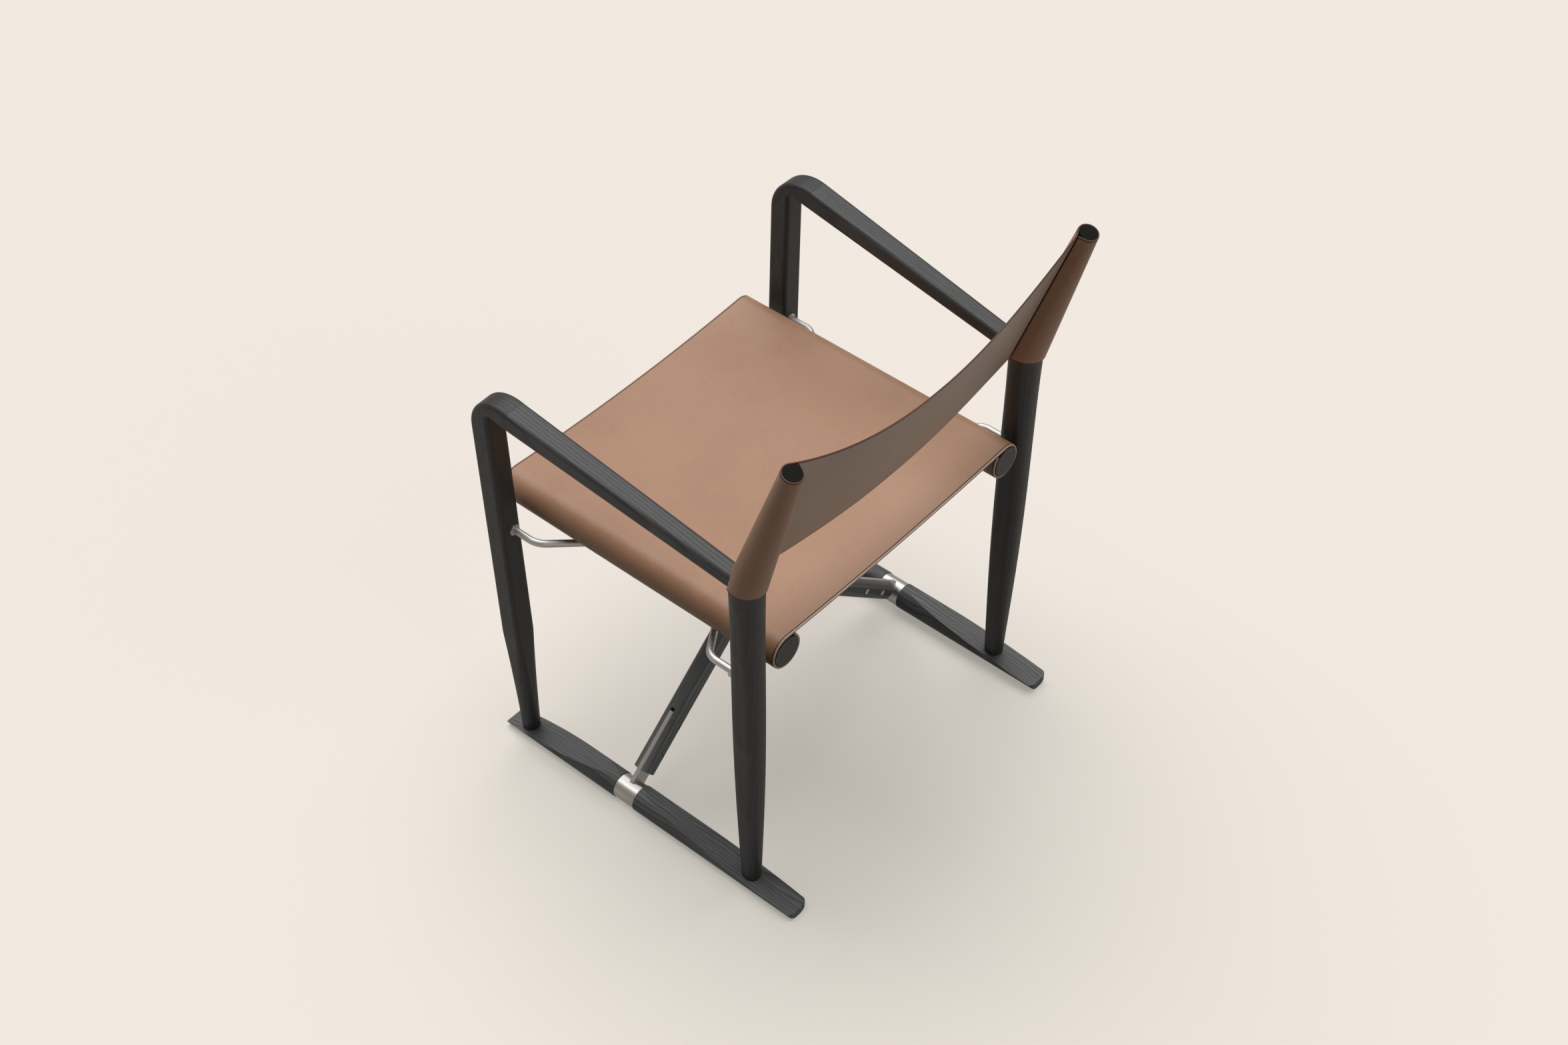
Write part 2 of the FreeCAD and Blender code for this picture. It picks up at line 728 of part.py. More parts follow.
# Crossed braces: the front one stands in the right collar, the rear one in the left collar
for word, sign, side, other in (("front", 1, "right", "left"), ("rear", -1, "left", "right")):
    y = mid_y + brace_shift - sign * collar_y
    brace_at = place(sign * half_x, y, pivot_z, -sign * brace_turn)
    span = "sqrt((Sizes.leg_gap_x / 2 + Sizes.rail_x)^2 + (Sizes.rail_z - Sizes.pivot_z)^2)"
    name = word + "_brace"
    rod_l = span + " - Sizes.brace_foot - Sizes.brace_head"
    rod = cylinder(name + "_rod", "Sizes.brace_d / 2", rod_l, V(0, 0, brace_foot), Z)
    slot_t = blade_t + 2 * slot_play
    wide = "Sizes.blade_t + 2 * Sizes.slot_play"
    foot_corner = V(-brace_d, -slot_t / 2, brace_foot)
    foot_slot = box(name + "_foot_slot", "2 * Sizes.brace_d", wide, "Sizes.blade_in + 5", foot_corner)
    head_z = brace_top - tongue_in - 2
    head_corner = V(-brace_d, -slot_t / 2, head_z)
    head_slot = box(name + "_head_slot", "2 * Sizes.brace_d", wide, "Sizes.tongue_in + 4", head_corner)
    tools = [foot_slot, head_slot]
    pins = []
    blade_holes = []
    through = "4 * Sizes.brace_d"
    spots = (screw_a, screw_b, brace_top - screw_top)
    outer_way = -sign
    for number, t in enumerate(spots):
        start = V(0, outer_way * (brace_d / 2 - screw_sunk), t)
        length = "Sizes.brace_d - Sizes.screw_sunk - Sizes.screw_inset"
        inward = Y * -outer_way
        pin = cylinder("%s_pin%d" % (name, number), "Sizes.screw_d / 2", length, start, inward)
        socket = cylinder("%s_socket%d" % (name, number), "Sizes.screw_socket / 2", "2.5", start, inward)
        start = V(0, -2 * brace_d, t)
        hole = cylinder("%s_hole%d" % (name, number), "Sizes.screw_d / 2", through, start, Y)
        pins.append(cut("%s_pin%d" % (name, number), pin, [socket]))
        tools.append(hole)
        blade_holes.append(hole)
    bolt_r = "Sizes.bolt_d / 2" if word == "front" else "Sizes.bolt_d / 2 + Sizes.run_fit"
    tools.append(cylinder(name + "_bolt_hole", bolt_r, through, V(0, -2 * brace_d, cross_t), Y))
    spot_y = outer_way * (brace_d / 2 - spot_depth)
    spot_r = "Sizes.bolt_head_d / 2 + Sizes.spot_play"
    tools.append(cylinder(name + "_spot", spot_r, "Sizes.brace_d", V(0, spot_y, cross_t), Y * outer_way))
    slot_l = "Sizes.bail_slot_b - Sizes.bail_slot_a"
    slot_corner = V(-bail_slot_w / 2, -2 * brace_d, bail_slot_a)
    tools.append(box(name + "_bail_slot", "Sizes.bail_slot_w", through, slot_l, slot_corner))
    for end_word, t in (("low", bail_slot_a), ("high", bail_slot_b)):
        start = V(0, -2 * brace_d, t)
        tools.append(cylinder("%s_slot_%s" % (name, end_word), "Sizes.bail_slot_w / 2", through, start, Y))
    node(name, cut(name, rod, tools), brace_at)
    group = doc.addObject("Part::Compound", name + "_pin_group")
    group.Links = pins
    node(name + "_screws", group, brace_at)

    collar = name + "_collar"
    half_l = collar_l / 2
    ring = cylinder(collar + "_ring", "Sizes.collar_d / 2", "Sizes.collar_l", V(0, -half_l, 0), Y)
    blade_l = "Sizes.brace_foot + Sizes.blade_in - Sizes.axle_d / 2 - 3"
    corner = V(-blade_w / 2, -blade_t / 2, axle_d / 2 + 3)
    blade = box(collar + "_blade", "Sizes.blade_w", "Sizes.blade_t", blade_l, corner)
    whole = fuse(collar, [ring, blade])
    bore_r = "Sizes.axle_d / 2 + Sizes.run_fit"
    bore = cylinder(collar + "_bore", bore_r, "2 * Sizes.collar_l", V(0, -collar_l, 0), Y)
    node(collar, cut(collar, whole, [bore, blade_holes[0], blade_holes[1]]), brace_at)

    tongue = name + "_tongue"
    tongue_l = "Sizes.brace_head + Sizes.tongue_in - Sizes.tongue_rail"
    corner = V(-tongue_w / 2, -blade_t / 2, brace_top - tongue_in)
    plate = box(tongue + "_plate", "Sizes.tongue_w", "Sizes.blade_t", tongue_l, corner)
    node(tongue, cut(tongue, plate, [blade_holes[2]]), brace_at)

    rail = other + "_seat_rail"
    stick_l = "Sizes.rail_front + Sizes.rail_back"
    stick = cylinder(rail + "_stick", "Sizes.rail_d / 2", stick_l, V(0, -rail_front, 0), Y)
    mortise = box(rail + "_mortise", "Sizes.tongue_w", "Sizes.blade_t", tongue_l, V(0, 0, 0))
    rail_at = place(-sign * rail_x, mid_y, rail_z)
    mortise.Placement = rail_at.inverse().multiply(brace_at).multiply(place(corner.x, corner.y, corner.z))
    node(rail, cut(rail, stick, [mortise]), rail_at)

    shape, centre = seat_half(-sign)
    first = slit_from if sign < 0 else 180 - slit_from - slit_turn
    wedge = Part.makeCylinder(rail_d / 2 + 2 * seat_t, slit_w, V(0, 0, 0), V(0, 0, 1), slit_turn)
    wedge.rotate(V(0, 0, 0), Z, first)
    wedge.rotate(V(0, 0, 0), X, 90)
    wedge.translate(centre + V(0, brace_shift - sign * collar_y + slit_w / 2, 0))
    half = solid(other + "_seat", clean(shape.cut(wedge)))
    node(other + "_seat", half, place(0, mid_y, rail_z))

# Pivot where the braces cross
cross_z = pivot_z + cross_t * math.cos(math.radians(brace_turn))
outer_y = collar_y + brace_d / 2 - spot_depth
cross_at = place(0, mid_y + brace_shift, cross_z)
shank_l = "2 * (Sizes.collar_y + Sizes.brace_d / 2 - Sizes.spot_depth) + Sizes.bolt_head_t"
shank = cylinder("pivot_bolt_shank", "Sizes.bolt_d / 2", shank_l, V(0, -outer_y, 0), Y)
head_y = -outer_y - bolt_head_t
head = cylinder("pivot_bolt_head", "Sizes.bolt_head_d / 2", "Sizes.bolt_head_t", V(0, head_y, 0), Y)
node("pivot_bolt", fuse("pivot_bolt", [shank, head]), cross_at)
nut_y = outer_y + washer_play
nut = cylinder("pivot_nut_cap", "Sizes.bolt_head_d / 2", "Sizes.bolt_head_t + 1", V(0, nut_y, 0), Y)
thread_l = "Sizes.bolt_head_t - Sizes.washer_play"
thread = cylinder("pivot_nut_bore", "Sizes.bolt_d / 2", thread_l, V(0, nut_y, 0), Y)
node("pivot_nut", cut("pivot_nut", nut, [thread]), cross_at)
gap = "2 * Sizes.collar_y - Sizes.brace_d - Sizes.washer_play"
washer_y = -collar_y + brace_d / 2
disc = cylinder("pivot_washer_disc", "Sizes.washer_d / 2", gap, V(0, washer_y, 0), Y)
eye = cylinder("pivot_washer_eye", "Sizes.bolt_d / 2", "2 * Sizes.washer_d", V(0, -washer_d, 0), Y)
node("pivot_washer", cut("pivot_washer", disc, [eye]), cross_at)

doc.recompute()
for obj in doc.Objects:
    state = [str(word) for word in obj.State]
    if "Invalid" in state or "Error" in state:
        raise RuntimeError("not built: %s %s" % (obj.Name, state))
os.makedirs("parts", exist_ok=True)
for obj in nodes:
    if obj.Shape.isNull() or not obj.Shape.isValid():
        raise RuntimeError("bad shape: %s" % obj.Label)
    obj.Shape.exportStep("parts/%s.step" % obj.Label)
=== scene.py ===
import math

import bpy
import numpy as np
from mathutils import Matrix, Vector


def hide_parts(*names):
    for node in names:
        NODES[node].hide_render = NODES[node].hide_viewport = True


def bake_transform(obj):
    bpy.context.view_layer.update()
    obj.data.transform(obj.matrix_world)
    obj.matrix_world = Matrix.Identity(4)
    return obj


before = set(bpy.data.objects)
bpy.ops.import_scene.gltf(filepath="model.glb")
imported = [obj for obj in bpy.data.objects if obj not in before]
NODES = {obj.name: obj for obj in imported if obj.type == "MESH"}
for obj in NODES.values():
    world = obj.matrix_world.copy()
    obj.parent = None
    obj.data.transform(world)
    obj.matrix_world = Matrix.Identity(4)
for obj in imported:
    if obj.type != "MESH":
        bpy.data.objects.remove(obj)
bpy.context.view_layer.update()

# Folding armchair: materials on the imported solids, and leather sheets in place of the split halves
SIDES = (("right", 1), ("left", -1))
BRACES = (("front", 1), ("rear", -1))
QUARTER = math.pi / 2

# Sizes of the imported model, in metres
MID_Y = -0.02933
HALF_X = 0.265
HALF_Y = 0.205
PIVOT_Z = 0.019
SPLAY = math.radians(0.86)
GAP = 0.0003
RAIL_X = 0.221
RAIL_Z = 0.4406
RAIL_R = 0.0215
RAIL_FRONT = 0.2385
RAIL_BACK = 0.2295
COLLAR_Y = 0.017
BRACE_SHIFT = 0.0045
BRACE_TURN = math.atan2(HALF_X + RAIL_X, RAIL_Z - PIVOT_Z)
SEAT_T = 0.0035
SEAT_INSET = 0.001
SAG_FRONT = 0.0085
SAG_BACK = 0.0050
SLIT_HALF = 0.0037
SLIT_FROM = 146  # degrees round the rail
SLIT_TO = 258
POCKET_FROM = math.radians(131)
POST_Z = 0.586
POST_SHIFT = 0.0065
POST_L = 0.2407
POST_R = 0.0225
POST_TOP_R = 0.012
RAKE = math.radians(17.34)
BACK_T = 0.002
SAG_TOP = 0.023
SAG_LOW = 0.015
SAG_PEAK = 0.6
DIP_TOP = 0.081
DIP_LOW = 0.020
SEAM_GAP = 0.003
SEAM_TURN = math.radians(70)
SLEEVE_LOW = -0.001
SLEEVE_OVER = 0.0045
NOTCH_HALF = 0.01475
NOTCH_H = 0.0108
TAIL_BEHIND = 1.04  # thicknesses from the sheet to the tail under it
UP = np.array([0.0, math.sin(RAKE), math.cos(RAKE)])
REAR = np.array([0.0, math.cos(RAKE), -math.sin(RAKE)])
BEND = np.array([0.0, HALF_Y + POST_SHIFT, POST_Z - PIVOT_Z])

# Meshes of the sheets
ROWS = 34
POCKET_STEPS = 64
SHEET_STEPS = 81
EDGE_EASE = 0.72  # thickness left at a sheet's cut edge
EDGE_BANDS = (0.0, 0.14, 0.86, 1.0)  # shares of the thickness
SEAT_RIM = 0.0015
SEAT_LINE = 0.0034
BACK_RIM = 0.004  # shares of the height
BACK_LINE = 0.011
BACK_SHARES = {
    "tail": np.linspace(0, 1, 8)[:-1],
    "round": np.linspace(0, 1, 49)[:-1],
    "lead": np.linspace(0, 1, 8)[:-1],
    "sheet": np.append(np.linspace(0, 0.998, 49), 1.0),
}
FACE, INSIDE, RIM, LINE = range(4)
FACING = 0.97  # least cosine of a face that counts as a cut end

# Colours
BLACK = (0.0,) * 3
GREY = (0.35,) * 3
WHITE = (1.0,) * 3
ASH_LIGHT = (0.044, 0.0465, 0.0448)
ASH = (0.024, 0.025, 0.025)
ASH_DARK = (0.008, 0.008, 0.009)
# Post tops: end grain darkened nearly to black, partly painted shade of the recessed top.
END_LIGHT = (0.014, 0.015, 0.013)
END_DARK = (0.006, 0.007, 0.006)
TAN = (0.395, 0.216, 0.129)
TAN_DEEP = (0.335, 0.172, 0.096)
FLESH = (0.44, 0.31, 0.225)
FLESH_DEEP = (0.375, 0.255, 0.18)
# Pale cut edge, also laid on the seat's eased top rim as a painted highlight.
RAW_EDGE_AND_HIGHLIGHT = (0.78, 0.56, 0.41)
GLUE_LINE = (0.075, 0.04, 0.025)
BURNISHED = (0.12, 0.048, 0.026)
SATIN = (0.60, 0.585, 0.56)
ROD = (0.56, 0.55, 0.53)
# Screws: a brighter copy of the steel so that they look lit, a painted highlight.
LIT_SCREW_STEEL = (0.93, 0.92, 0.90)
PALE = (0.896, 0.800, 0.736, 1.0)
SHADE = (0.855, 0.845, 0.765, 1.0)
BOUNCE = (0.105, 0.096, 0.086, 1.0)
SKY = (1.0, 0.99, 0.975, 1.0)

# Floor, light and camera
FLOOR = 40.0
FLOOR_GLOW = 0.36
FLOOR_MIRROR = 0.55
WALL_MIRROR = 0.30
SKY_LIGHT = 0.07
FOCAL_PIXELS = 3961.67
IMAGE_WIDTH = 2352
SENSOR = 36.0
AZIMUTH = math.radians(130.57)
ELEVATION = math.radians(45.07)
EYE = (1.8733, 1.6387 + MID_Y, 2.8414)


def scaled(colour, factor):
    """Colour times a factor."""
    return tuple(factor * c for c in colour)


def feed(tree, socket, value):
    """Links a socket to another one, or sets its value."""
    if isinstance(value, bpy.types.NodeSocket):
        tree.links.new(value, socket)
    else:
        socket.default_value = value


def add(tree, kind, **inputs):
    """One node with its inputs set or linked by name."""
    node = tree.nodes.new(kind)
    for key, value in inputs.items():
        feed(tree, node.inputs[key], value)
    return node


def math_node(tree, operation, a, b=None):
    """Result of a math node from sockets or numbers."""
    node = tree.nodes.new("ShaderNodeMath")
    node.operation = operation
    feed(tree, node.inputs[0], a)
    if b is not None:
        feed(tree, node.inputs[1], b)
    return node.outputs[0]


def times(tree, a, b):
    """Product of two sockets or numbers."""
    return math_node(tree, "MULTIPLY", a, b)


def ramp(tree, fac, stops):
    """Colour ramp from (position, colour) pairs."""
    node = tree.nodes.new("ShaderNodeValToRGB")
    elements = node.color_ramp.elements
    while len(elements) < len(stops):
        elements.new(0.5)
    for element, (position, colour) in zip(elements, stops):
        element.position = position
        element.color = (*colour, 1.0)
    tree.links.new(fac, node.inputs[0])
    return node.outputs[0]


def noise(tree, vector, scale, detail=4.0, rough=0.55):
    """Noise value at a vector."""
    inputs = {"Scale": scale, "Detail": detail, "Roughness": rough, "Vector": vector}
    return add(tree, "ShaderNodeTexNoise", **inputs).outputs["Fac"]


def stretched(tree, vector, scale):
    """Vector scaled per axis."""
    return add(tree, "ShaderNodeMapping", Scale=scale, Vector=vector).outputs[0]


def looked_at(tree, mirrored):
    """One where the camera looks, also through glass, and a share where a gloss mirrors."""
    rays = tree.nodes.new("ShaderNodeLightPath").outputs
    gloss = times(tree, rays["Is Glossy Ray"], mirrored)
    share = math_node(tree, "MAXIMUM", rays["Is Camera Ray"], gloss)
    return math_node(tree, "MAXIMUM", share, rays["Is Transmission Ray"])


def new_material(name):
    """Material with its node tree and a principled shader on its output."""
    mat = bpy.data.materials.new(name)
    mat.use_nodes = True
    tree = mat.node_tree
    tree.nodes.clear()
    out = tree.nodes.new("ShaderNodeOutputMaterial")
    bsdf = tree.nodes.new("ShaderNodeBsdfPrincipled")
    tree.links.new(bsdf.outputs[0], out.inputs[0])
    return mat, tree, bsdf


def own_axes(tree):
    """Coordinates along the object's own axes."""
    return tree.nodes.new("ShaderNodeTexCoord").outputs["Object"]


def roughen(tree, bsdf, strength, distance, height):
    """Bump on a shader."""
    bump = add(tree, "ShaderNodeBump", Strength=strength, Distance=distance, Height=height)
    tree.links.new(bump.outputs[0], bsdf.inputs["Normal"])


def wood(name, turn, pith, painted_light_gain=1.0, swirl=0.014):
    """Dark stained ash: rings round an off-centre pith, fibres and open pores along local X; the gain
    brightens the stain as painted light where a piece looks lit.
    """
    mat, tree, bsdf = new_material(name)
    coord = own_axes(tree)
    grain = add(tree, "ShaderNodeMapping", Vector=coord, Rotation=turn, Location=pith).outputs[0]
    wave = noise(tree, stretched(tree, grain, (3.0, 14.0, 14.0)), 1.0, 3.0)
    flat = tree.nodes.new("ShaderNodeVectorMath")
    flat.operation = "MULTIPLY"
    feed(tree, flat.inputs[0], grain)
    feed(tree, flat.inputs[1], (0.02, 1.0, 1.0))
    length = tree.nodes.new("ShaderNodeVectorMath")
    length.operation = "LENGTH"
    feed(tree, length.inputs[0], flat.outputs[0])
    shifted = math_node(tree, "ADD", length.outputs["Value"], times(tree, wave, swirl))
    rings_per_metre = 190.0
    ring = math_node(tree, "FRACT", times(tree, shifted, rings_per_metre))
    band = ramp(tree, ring, ((0.0, BLACK), (0.08, WHITE), (0.42, GREY), (1.0, BLACK)))
    fibre = noise(tree, stretched(tree, grain, (22.0, 950.0, 950.0)), 1.0, 5.0, 0.7)
    streak = noise(tree, stretched(tree, grain, (4.0, 120.0, 120.0)), 1.0, 3.0)
    pore = noise(tree, stretched(tree, grain, (90.0, 2200.0, 2200.0)), 1.0, 2.0)
    pore = ramp(tree, pore, ((0.52, BLACK), (0.62, WHITE)))
    tone = math_node(tree, "ADD", times(tree, band, 0.50), times(tree, fibre, 0.38))
    tone = math_node(tree, "ADD", tone, times(tree, streak, 0.25))
    stained = ((0.18, ASH_LIGHT), (0.45, ASH), (0.95, ASH_DARK))
    # Stain brightened by the gain: painted light, lighter where a piece looks lit.
    stops = [(position, scaled(colour, painted_light_gain)) for position, colour in stained]
    feed(tree, bsdf.inputs["Base Color"], ramp(tree, tone, stops))
    feed(tree, bsdf.inputs["Roughness"], math_node(tree, "ADD", times(tree, fibre, 0.22), 0.36))
    feed(tree, bsdf.inputs["Specular IOR Level"], 0.45)
    height = math_node(tree, "SUBTRACT", times(tree, fibre, 0.25), times(tree, pore, band))
    height = math_node(tree, "SUBTRACT", height, times(tree, band, 0.25))
    roughen(tree, bsdf, 0.35, 0.0004, height)
    return mat


def end_grain(name):
    """Cut end of the dark stained ash: open and matt end grain, darkened nearly to black as painted
    shade of the recessed post top.
    """
    mat, tree, bsdf = new_material(name)
    coord = own_axes(tree)
    pore = noise(tree, coord, 700.0)
    stops = ((0.35, END_DARK), (0.65, END_LIGHT))
    feed(tree, bsdf.inputs["Base Color"], ramp(tree, pore, stops))
    feed(tree, bsdf.inputs["Roughness"], 0.85)
    feed(tree, bsdf.inputs["Specular IOR Level"], 0.12)
    roughen(tree, bsdf, 0.3, 0.0003, pore)
    return mat


def leather(name, tint, deep):
    """Saddle leather: fine pebble, soft mottling and a satin finish."""
    mat, tree, bsdf = new_material(name)
    coord = own_axes(tree)
    cloud = noise(tree, coord, 7.0)
    speck = noise(tree, coord, 260.0, 3.0)
    cells = add(tree, "ShaderNodeTexVoronoi", Scale=950.0, Vector=coord)
    wrinkle = noise(tree, stretched(tree, coord, (90.0, 130.0, 110.0)), 1.0, 5.0, 0.65)
    tone = math_node(tree, "ADD", times(tree, cloud, 0.65), times(tree, speck, 0.35))
    stops = ((0.30, deep), (0.52, tint), (0.75, scaled(tint, 1.10)))
    feed(tree, bsdf.inputs["Base Color"], ramp(tree, tone, stops))
    feed(tree, bsdf.inputs["Roughness"], math_node(tree, "ADD", times(tree, speck, 0.16), 0.36))
    feed(tree, bsdf.inputs["Specular IOR Level"], 0.42)
    feed(tree, bsdf.inputs["Sheen Weight"], 0.06)
    height = math_node(tree, "ADD", times(tree, cells.outputs["Distance"], 0.5), wrinkle)
    roughen(tree, bsdf, 0.16, 0.0004, height)
    return mat


def edge_leather(name, tint):
    """Cut leather edge: fibrous, slightly burnished."""
    mat, tree, bsdf = new_material(name)
    coord = own_axes(tree)
    fibre = noise(tree, coord, 900.0)
    stops = ((0.35, scaled(tint, 0.7)), (0.65, tint))
    feed(tree, bsdf.inputs["Base Color"], ramp(tree, fibre, stops))
    feed(tree, bsdf.inputs["Roughness"], 0.62)
    roughen(tree, bsdf, 0.3, 0.0002, fibre)
    return mat


def steel(name, tint, low, grain):
    """Satin steel with fine brush lines."""
    mat, tree, bsdf = new_material(name)
    coord = own_axes(tree)
    lines = noise(tree, stretched(tree, coord, grain), 1.0, 3.0)
    smear = noise(tree, coord, 18.0, 3.0)
    stops = ((0.3, scaled(tint, 0.86)), (0.7, tint))
    feed(tree, bsdf.inputs["Base Color"], ramp(tree, smear, stops))
    feed(tree, bsdf.inputs["Roughness"], math_node(tree, "ADD", times(tree, lines, 0.16), low))
    feed(tree, bsdf.inputs["Metallic"], 1.0)
    roughen(tree, bsdf, 0.06, 0.0002, lines)
    return mat


def paint(node, mat):
    """Gives a CAD node one material."""
    obj = NODES[node]
    obj.data.materials.clear()
    obj.data.materials.append(mat)
    for polygon in obj.data.polygons:
        polygon.material_index = 0


def paint_end(node, mat, way):
    """Gives the faces of a painted node that look one way a second material."""
    obj = NODES[node]
    obj.data.materials.append(mat)
    turn = obj.matrix_world.to_3x3()
    for polygon in obj.data.polygons:
        if (turn @ polygon.normal).normalized().dot(way) > FACING:
            polygon.material_index = 1


def thick_sheet(name, outer, inner, mats, missing):
    """Closed mesh of a thick sheet from two point grids: banded cut edge, some cells left out."""
    nu, nv = outer.shape[:2]
    count = nu * nv
    present = ~missing
    verts = np.concatenate([(outer * (1 - s) + inner * s).reshape(-1, 3) for s in EDGE_BANDS])
    # With the seat's materials the RIM rows are pale: partly the cut edge, partly a painted highlight
    # on the eased edge.
    edge_rows = {0: RIM, 1: LINE, nv - 3: LINE, nv - 2: RIM}
    under = len(EDGE_BANDS) - 1
    faces = []
    kinds = []

    def index(layer, i, j):
        return layer * count + i * nv + j

    def wall(a, b):
        for low, kind in enumerate((LINE, RIM, LINE)):
            faces.append((index(low, *a), index(low, *b), index(low + 1, *b), index(low + 1, *a)))
            kinds.append(kind)

    for i in range(nu - 1):
        for j in range(nv - 1):
            if not present[i, j]:
                continue
            corners = ((i, j), (i + 1, j), (i + 1, j + 1), (i, j + 1))
            faces.append(tuple(index(0, *corner) for corner in corners))
            kinds.append(edge_rows.get(j, FACE))
            faces.append(tuple(index(under, *corner) for corner in corners[::-1]))
            kinds.append(edge_rows.get(j, INSIDE))
            if i == 0 or not present[i - 1, j]:
                wall((i, j), (i, j + 1))
            if i == nu - 2 or not present[i + 1, j]:
                wall((i + 1, j + 1), (i + 1, j))
            if j == 0 or not present[i, j - 1]:
                wall((i + 1, j), (i, j))
            if j == nv - 2 or not present[i, j + 1]:
                wall((i, j + 1), (i + 1, j + 1))
    used = np.unique(np.array(faces))
    renumber = np.zeros(len(verts), int)
    renumber[used] = np.arange(len(used))
    mesh = bpy.data.meshes.new(name)
    mesh.from_pydata(verts[used].tolist(), [], renumber[np.array(faces)].tolist())
    for mat in mats:
        mesh.materials.append(mat)
    mesh.polygons.foreach_set("material_index", kinds)
    mesh.polygons.foreach_set("use_smooth", [kind in (FACE, INSIDE) for kind in kinds])
    mesh.update()
    mesh.validate()
    obj = bpy.data.objects.new(name, mesh)
    bpy.context.collection.objects.link(obj)
    return obj


def area_of(grid):
    """Area of a grid of points."""
    a = grid[1:, 1:] - grid[:-1, :-1]
    b = grid[1:, :-1] - grid[:-1, 1:]
    return float(np.linalg.norm(np.cross(a, b), axis=2).sum() / 2)


def length_of(line):
    """Length of a line of points."""
    return float(np.linalg.norm(np.diff(line, axis=0), axis=1).sum())


def rows_with_edges(low, high, rim, line, extra=()):
    """Stations from low to high with two narrow rows inside each end."""
    inside = np.linspace(low + line, high - line, ROWS)
    return np.array(sorted([low, low + rim, *inside.tolist(), high - rim, high, *extra]))


def thickness_rows(stations, t):
    """Half thickness per station, eased at the two ends."""
    half = np.full(len(stations), t / 2)
    half[0] *= EDGE_EASE
    half[-1] *= EDGE_EASE
    return half


def seat_profile(sag):
    """Middle line and outward normal of the seat's section: right pocket, sheet, left pocket."""
    r_mid = RAIL_R + GAP + SEAT_T / 2
    drop = r_mid - sag
    r_sag = (RAIL_X**2 + drop**2 - r_mid**2) / (2 * (r_mid - drop))
    high = np.array([0.0, drop + r_sag])
    rail = np.array([RAIL_X, 0.0])
    mirror = np.array([-1.0, 1.0])
    lean = math.atan2(RAIL_X, high[1])
    points = []
    normals = []
    for angle in np.linspace(POCKET_FROM, 2.5 * math.pi + lean, POCKET_STEPS):
        way = np.array([math.cos(angle), math.sin(angle)])
        points.append(rail + way * r_mid)
        normals.append(way)
    for angle in np.linspace(lean, -lean, SHEET_STEPS)[1:-1]:
        way = np.array([-math.sin(angle), math.cos(angle)])
        points.append(high - way * r_sag)
        normals.append(way)
    for step in reversed(range(POCKET_STEPS)):
        points.append(points[step] * mirror)
        normals.append(normals[step] * mirror)
    return np.array(points), np.array(normals)


def brace_y(sign):
    """Middle of the brace that enters the rail on one side."""
    return MID_Y + BRACE_SHIFT + sign * COLLAR_Y


def build_seat():
    """One sheet over both rails, slit where the braces' tongues enter them."""
    low = MID_Y - RAIL_FRONT + SEAT_INSET
    high = MID_Y + RAIL_BACK - SEAT_INSET
    slits = [brace_y(sign) + way * SLIT_HALF for sign in (-1, 1) for way in (-1, 1)]
    stations = rows_with_edges(low, high, SEAT_RIM, SEAT_LINE, slits)
    outer = []
    inner = []
    for y, half in zip(stations, thickness_rows(stations, SEAT_T)):
        share = (y - low) / (high - low)
        points, normals = seat_profile(SAG_FRONT + (SAG_BACK - SAG_FRONT) * share)
        for grid, way in ((outer, 1), (inner, -1)):
            flat = points + normals * half * way
            grid.append(np.stack([flat[:, 0], np.full(len(flat), y), flat[:, 1] + RAIL_Z], axis=1))
    outer = np.array(outer).transpose(1, 0, 2)
    inner = np.array(inner).transpose(1, 0, 2)
    middle = (outer + inner) / 2
    missing = np.zeros((outer.shape[0] - 1, outer.shape[1] - 1), bool)
    for _, sign in SIDES:
        for i in range(missing.shape[0]):
            x = (middle[i, 0, 0] + middle[i + 1, 0, 0]) / 2 - sign * RAIL_X
            z = (middle[i, 0, 2] + middle[i + 1, 0, 2]) / 2 - RAIL_Z
            angle = math.degrees(math.atan2(z, sign * x)) % 360
            ring = math.hypot(x, z) < RAIL_R + 2 * SEAT_T
            if not (ring and SLIT_FROM < angle < SLIT_TO):
                continue
            for j in range(missing.shape[1]):
                if abs((stations[j] + stations[j + 1]) / 2 - brace_y(sign)) < SLIT_HALF:
                    missing[i, j] = True
    obj = thick_sheet("seat_leather", outer, inner, (hide, flesh, raw_edge_and_highlight, glue), missing)
    return obj, length_of(middle[:, middle.shape[1] // 2]), high - low


def post_r(h):
    """Post radius along its height."""
    return POST_R + (POST_TOP_R - POST_R) * h / POST_L


def to_chair(sign, local):
    """From a side frame's own axes to the chair's."""
    x = local[..., 0] * math.cos(SPLAY) + sign * local[..., 2] * math.sin(SPLAY)
    z = -sign * local[..., 0] * math.sin(SPLAY) + local[..., 2] * math.cos(SPLAY)
    return np.stack([x + sign * HALF_X, local[..., 1] + MID_Y, z + PIVOT_Z], axis=-1)


def post_x(h):
    """Distance of a post's axis from the chair's middle."""
    return float(to_chair(1, BEND + UP * h)[0])


def seam_at(h):
    """Seam from the post's axis: inward and rearward."""
    far = post_r(h) + GAP + BACK_T + SEAM_GAP
    return far * math.sin(SEAM_TURN), -far * math.cos(SEAM_TURN)


def edge_h(across, upper):
    """Height along the rake of the back's edge, from the middle (0) to the seam (1)."""
    ends = POST_L + SLEEVE_OVER if upper else SLEEVE_LOW
    dip = DIP_TOP if upper else DIP_LOW
    reach = post_x(ends) - seam_at(ends)[0]
    r = (reach**2 + dip**2) / (2 * dip)
    return ends - dip + r - math.sqrt(r * r - (across * reach) ** 2)


def round_way(turn):
    """Direction from the post's axis at a turn: inward and rearward."""
    return np.array([math.sin(turn), -math.cos(turn)])


